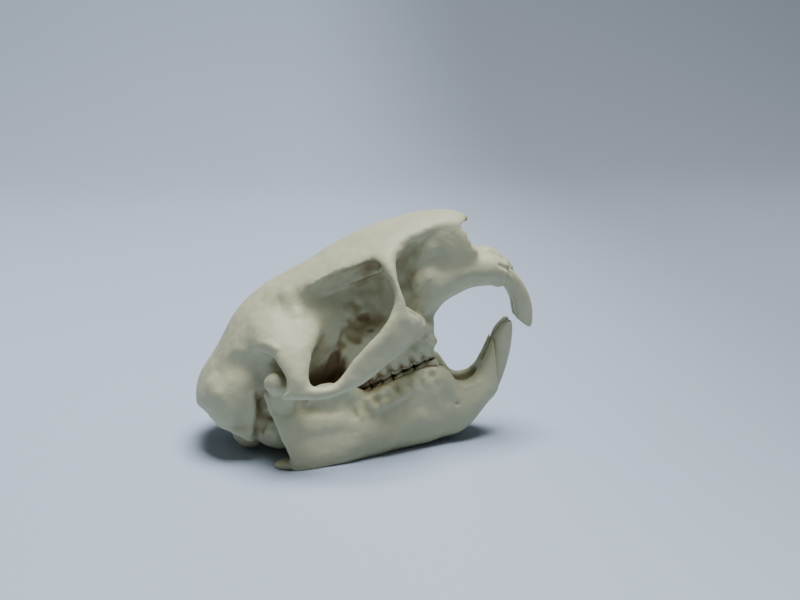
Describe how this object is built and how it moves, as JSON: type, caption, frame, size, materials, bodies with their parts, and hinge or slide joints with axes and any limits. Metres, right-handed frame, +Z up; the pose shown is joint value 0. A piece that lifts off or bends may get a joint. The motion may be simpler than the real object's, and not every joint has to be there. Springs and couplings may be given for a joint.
{
  "type": "porcupine skull",
  "caption": "Porcupine skull with lower jaw in place: domed roof, wide cheek arches, long curved front teeth and rows of folded cheek teeth.",
  "frame": {"origin": "centre of the bounding box's base, on the surface the jaw rests on", "axes": "+X towards the nose, +Y towards the animal's left, +Z up"},
  "size_m": [0.1026, 0.0712, 0.0701],
  "materials": {
    "bone": "matt cream bone",
    "tooth": "smooth cream enamel"
  },
  "bodies": {
    "root": {"cranium": "bone", "mandible": "bone", "upper_incisor_left": "tooth", "lower_incisor_left": "tooth", "upper_premolar_left": "tooth", "upper_molar_1_left": "tooth", "upper_molar_2_left": "tooth", "upper_molar_3_left": "tooth", "lower_premolar_left": "tooth", "lower_molar_1_left": "tooth", "lower_molar_2_left": "tooth", "lower_molar_3_left": "tooth", "upper_incisor_right": "tooth", "lower_incisor_right": "tooth", "upper_premolar_right": "tooth", "upper_molar_1_right": "tooth", "upper_molar_2_right": "tooth", "upper_molar_3_right": "tooth", "lower_premolar_right": "tooth", "lower_molar_1_right": "tooth", "lower_molar_2_right": "tooth", "lower_molar_3_right": "tooth"}
  },
  "joints": []
}
